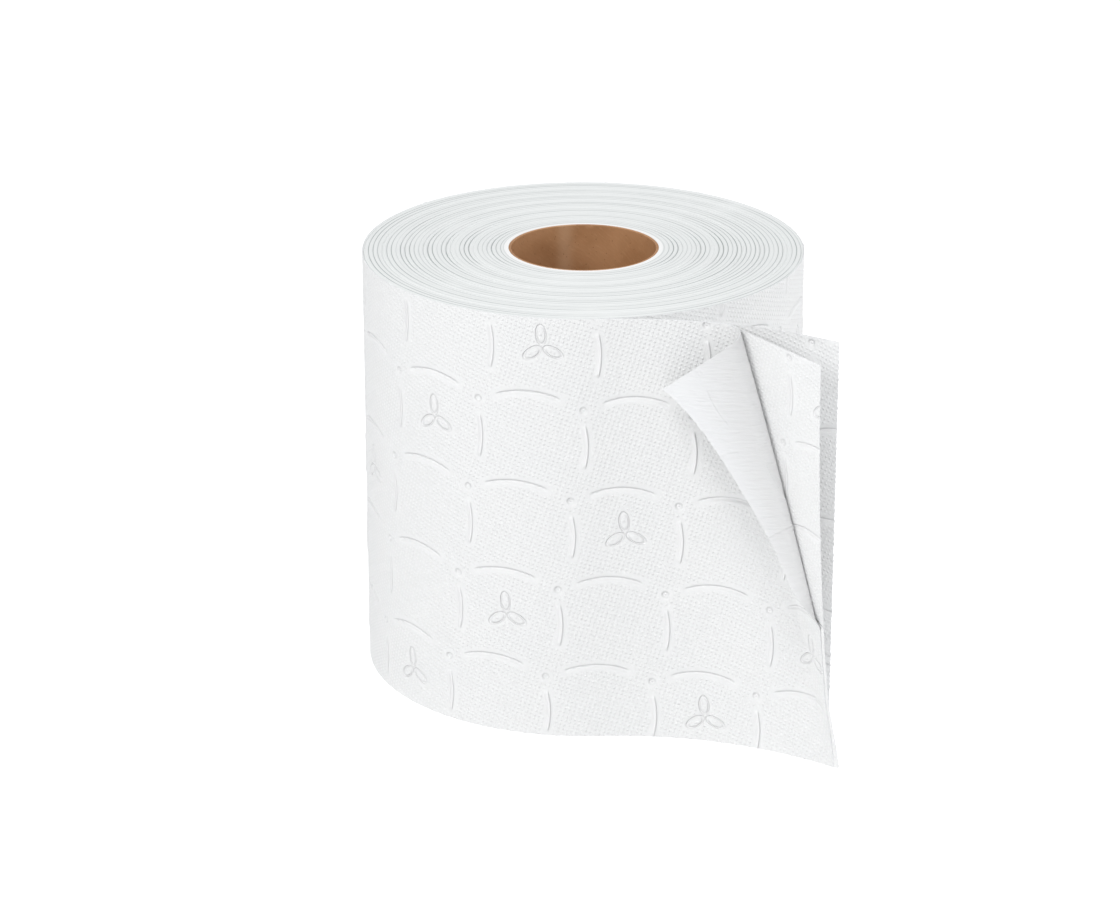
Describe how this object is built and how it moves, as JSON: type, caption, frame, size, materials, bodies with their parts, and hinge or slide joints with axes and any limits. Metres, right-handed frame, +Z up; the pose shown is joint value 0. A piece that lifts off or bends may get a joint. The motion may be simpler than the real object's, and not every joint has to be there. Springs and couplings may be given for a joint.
{
  "type": "toilet paper roll",
  "caption": "Embossed soft tissue wound on an open cardboard core, standing on end, with its loose sheet parting into plies and the front ply folded back.",
  "frame": {"origin": "on the roll's axis, at the end face that it stands on", "axes": "+Z up the core's axis, -Y the front, where the last turn leaves the roll and runs off towards +X"},
  "size_m": [0.1225, 0.1451, 0.114],
  "materials": {
    "core_board": "matte brown kraft board with a slight calendered sheen",
    "tissue": "soft white creped tissue, embossed and matte"
  },
  "bodies": {
    "root": {"core_tube": "core_board", "wound_paper": "tissue", "back_ply": "tissue", "middle_ply": "tissue", "front_ply": "tissue"}
  },
  "joints": []
}
